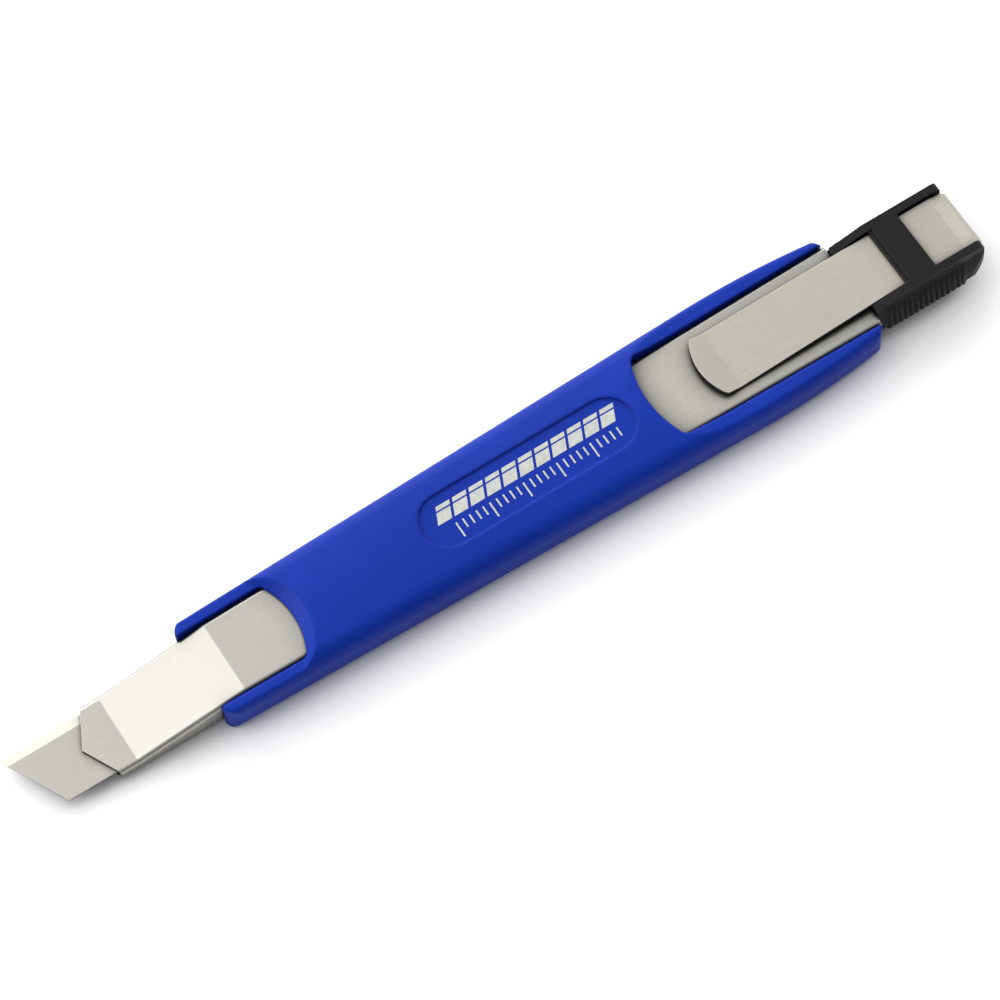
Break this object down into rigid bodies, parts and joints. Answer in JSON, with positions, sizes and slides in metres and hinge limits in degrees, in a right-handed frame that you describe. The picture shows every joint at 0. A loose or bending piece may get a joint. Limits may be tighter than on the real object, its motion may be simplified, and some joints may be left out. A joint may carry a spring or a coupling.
{
  "type": "snap-off blade cutter",
  "caption": "Slim retractable cutter: tapering cast handle, folded steel channel with a segmented snap-off blade, thumb slide, pull-off end cap with pocket clip and blade snapper.",
  "frame": {"origin": "middle of the underside, where the handle's two rails rest on a surface, halfway between the blade's point and the end of the snapper plate with the blade two segments out", "axes": "+X runs from the blade to the tail, +Y towards the blade's cutting edge, +Z out of the face that carries the clip"},
  "size_m": [0.1388, 0.0182, 0.0071],
  "materials": {
    "powder_coat": "royal blue powder coat with a fine orange-peel texture over a metal die casting",
    "channel_steel": "satin stainless sheet with bright folds",
    "blade_steel": "ground carbon steel with a brighter bevel",
    "clip_steel": "satin spring steel strip",
    "spring_steel": "plain spring steel",
    "fastener_steel": "zinc plated steel",
    "black_plastic": "black moulded plastic, slightly satin"
  },
  "bodies": {
    "handle": {"handle_body": "powder_coat", "blade_channel": "channel_steel", "channel_screws": "fastener_steel"},
    "blade_slider": {"slide_carrier": "black_plastic", "blade_stud": "fastener_steel", "snap_blade": "blade_steel", "button_spring": "spring_steel"},
    "thumb_button": {"thumb_pad": "black_plastic", "lock_plate": "spring_steel", "pad_screws": "fastener_steel"},
    "cap": {"end_cap": "black_plastic", "cap_detent_spring": "spring_steel", "snapper_plate": "clip_steel", "plate_rivets": "fastener_steel"},
    "clip": {"pocket_clip": "clip_steel"}
  },
  "joints": [
    {"name": "blade_slide", "type": "slide", "parent": "handle", "child": "blade_slider", "axis": [-1, 0, 0], "range_m": [-0.015, 0.045]},
    {"name": "button_press", "type": "slide", "parent": "blade_slider", "child": "thumb_button", "axis": [0, 0, 1], "range_m": [0, 0.0006], "stiffness_N_per_m": 600, "springref_m": -0.0004, "deforming": ["button_spring"]},
    {"name": "cap_pull", "type": "slide", "parent": "handle", "child": "cap", "axis": [1, 0, 0], "range_m": [0, 0.02]},
    {"name": "clip_flex", "type": "hinge", "parent": "cap", "child": "clip", "pos_m": [0.05865, 0, 0.00622], "axis": [0, 1, 0], "range_deg": [0, 5], "stiffness_Nm_per_rad": 0.5}
  ]
}
